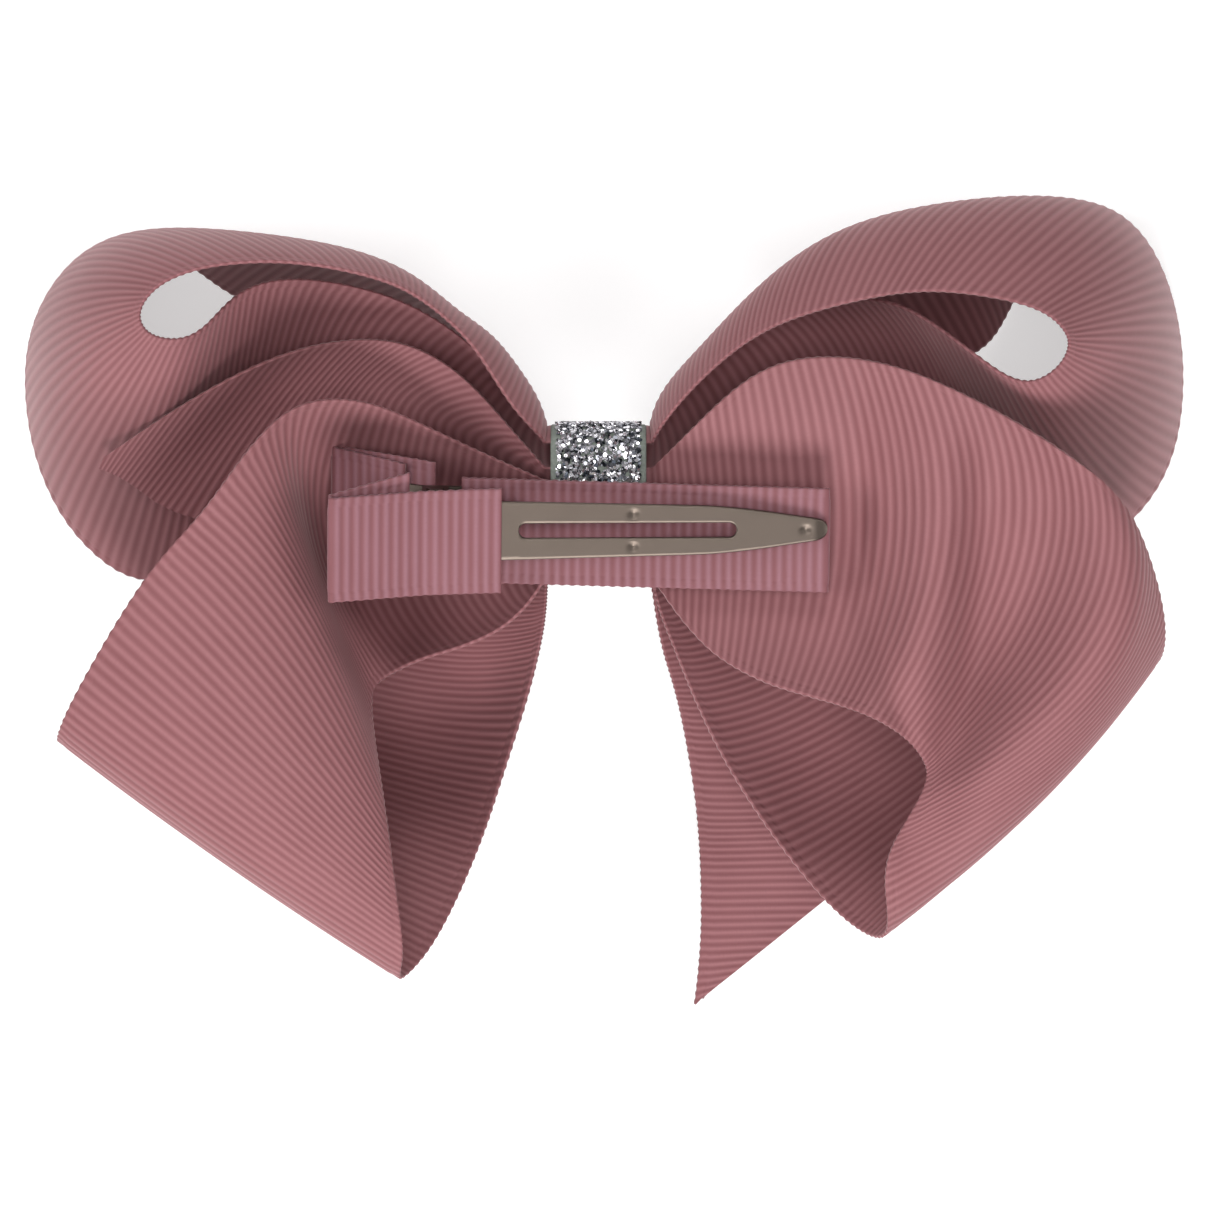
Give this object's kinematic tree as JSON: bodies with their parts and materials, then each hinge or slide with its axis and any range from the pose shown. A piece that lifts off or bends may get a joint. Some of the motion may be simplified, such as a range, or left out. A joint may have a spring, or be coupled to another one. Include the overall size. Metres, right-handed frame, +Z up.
{
  "type": "hair bow",
  "caption": "Folded grosgrain ribbon hair bow with loops and tails, a glitter band round its knot, and a sprung alligator clip with ribbon wraps on its back.",
  "frame": {"origin": "on the resting plane, under the middle of the bow's outline", "axes": "+X to the right and +Y to the top of the bow seen from its clip side, +Z up out of the clip side; the bow lies on its front"},
  "size_m": [0.1185, 0.0819, 0.0376],
  "materials": {
    "wide_ribbon": "dusty rose grosgrain, fine cross ribs, soft sheen",
    "narrow_ribbon": "dusty rose grosgrain, narrow width, corded edges",
    "thread": "matt sewing thread",
    "glitter": "silver glitter on a woven strip",
    "glue": "set hot glue, milky",
    "clip_metal": "satin nickel plated sheet steel",
    "spring_wire": "bright drawn wire"
  },
  "bodies": {
    "root": {"upper_left_loop": "wide_ribbon", "upper_right_loop": "wide_ribbon", "left_tail": "wide_ribbon", "lower_left_loop": "wide_ribbon", "lower_right_loop": "wide_ribbon", "right_tail": "wide_ribbon", "pleated_core": "wide_ribbon", "gathering_thread": "thread", "glitter_band": "glitter", "glue_pad": "glue", "clip_lower_arm": "clip_metal", "hinge_pin": "clip_metal", "torsion_spring": "spring_wire", "jaw_lining": "narrow_ribbon", "lower_handle_wrap": "narrow_ribbon"},
    "upper_jaw": {"clip_upper_arm": "clip_metal", "upper_handle_wrap": "narrow_ribbon"}
  },
  "joints": [
    {"name": "clip_hinge", "type": "hinge", "parent": "root", "child": "upper_jaw", "pos_m": [-0.0168, 0.0075, 0.0316], "axis": [-0.0102, -0.9743, -0.225], "range_deg": [0, 25], "stiffness_Nm_per_rad": 0.03, "springref_deg": -28.65}
  ]
}
